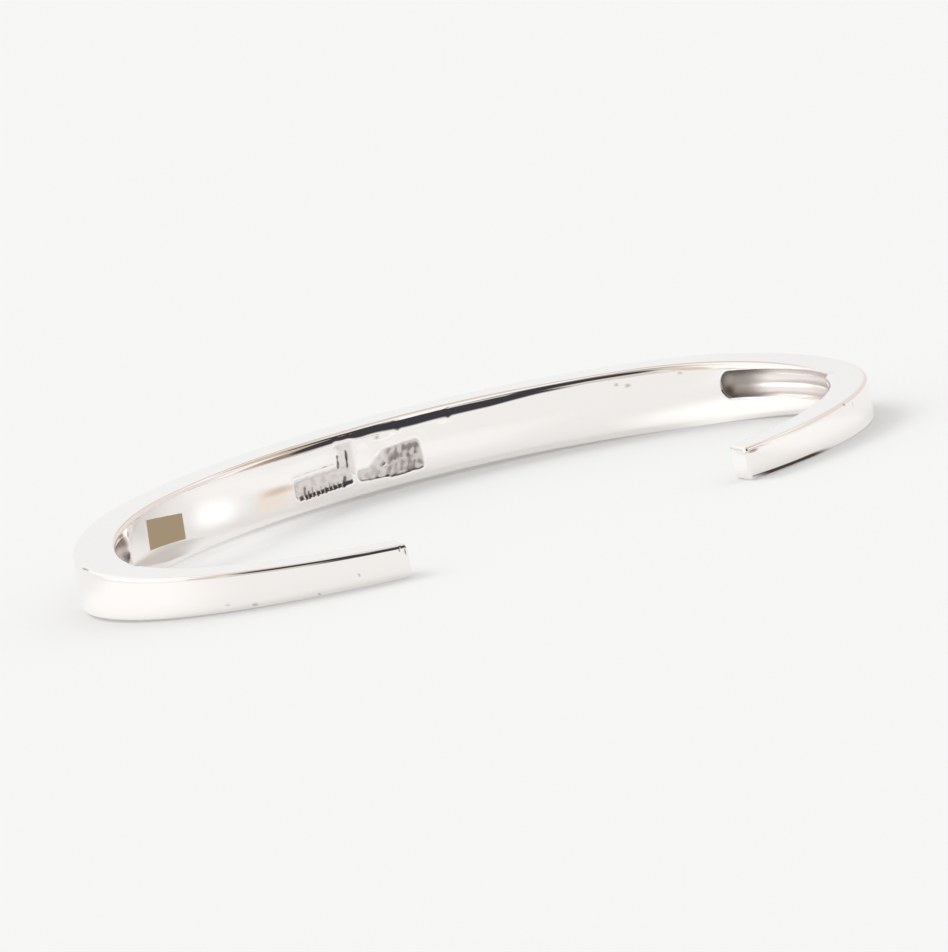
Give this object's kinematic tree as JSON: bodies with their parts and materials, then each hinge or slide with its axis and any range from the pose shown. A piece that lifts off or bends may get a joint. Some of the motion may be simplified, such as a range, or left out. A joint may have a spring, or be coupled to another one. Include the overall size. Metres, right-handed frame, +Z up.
{
  "type": "cuff bracelet",
  "caption": "Open oval cuff bracelet of polished silver, tallest at the back and tapering to square ends, with a long hollow in the inner wall of each side bend.",
  "frame": {"origin": "middle of the cuff's footprint, on the surface that it rests on", "axes": "+X across the cuff from one side bend to the other, +Y from the gap towards the back, +Z up from the side it rests on"},
  "size_m": [0.062, 0.0432, 0.0057],
  "materials": {
    "polished_silver": "mirror polished silver, lightly worn"
  },
  "bodies": {
    "root": {"cuff_band": "polished_silver"}
  },
  "joints": []
}
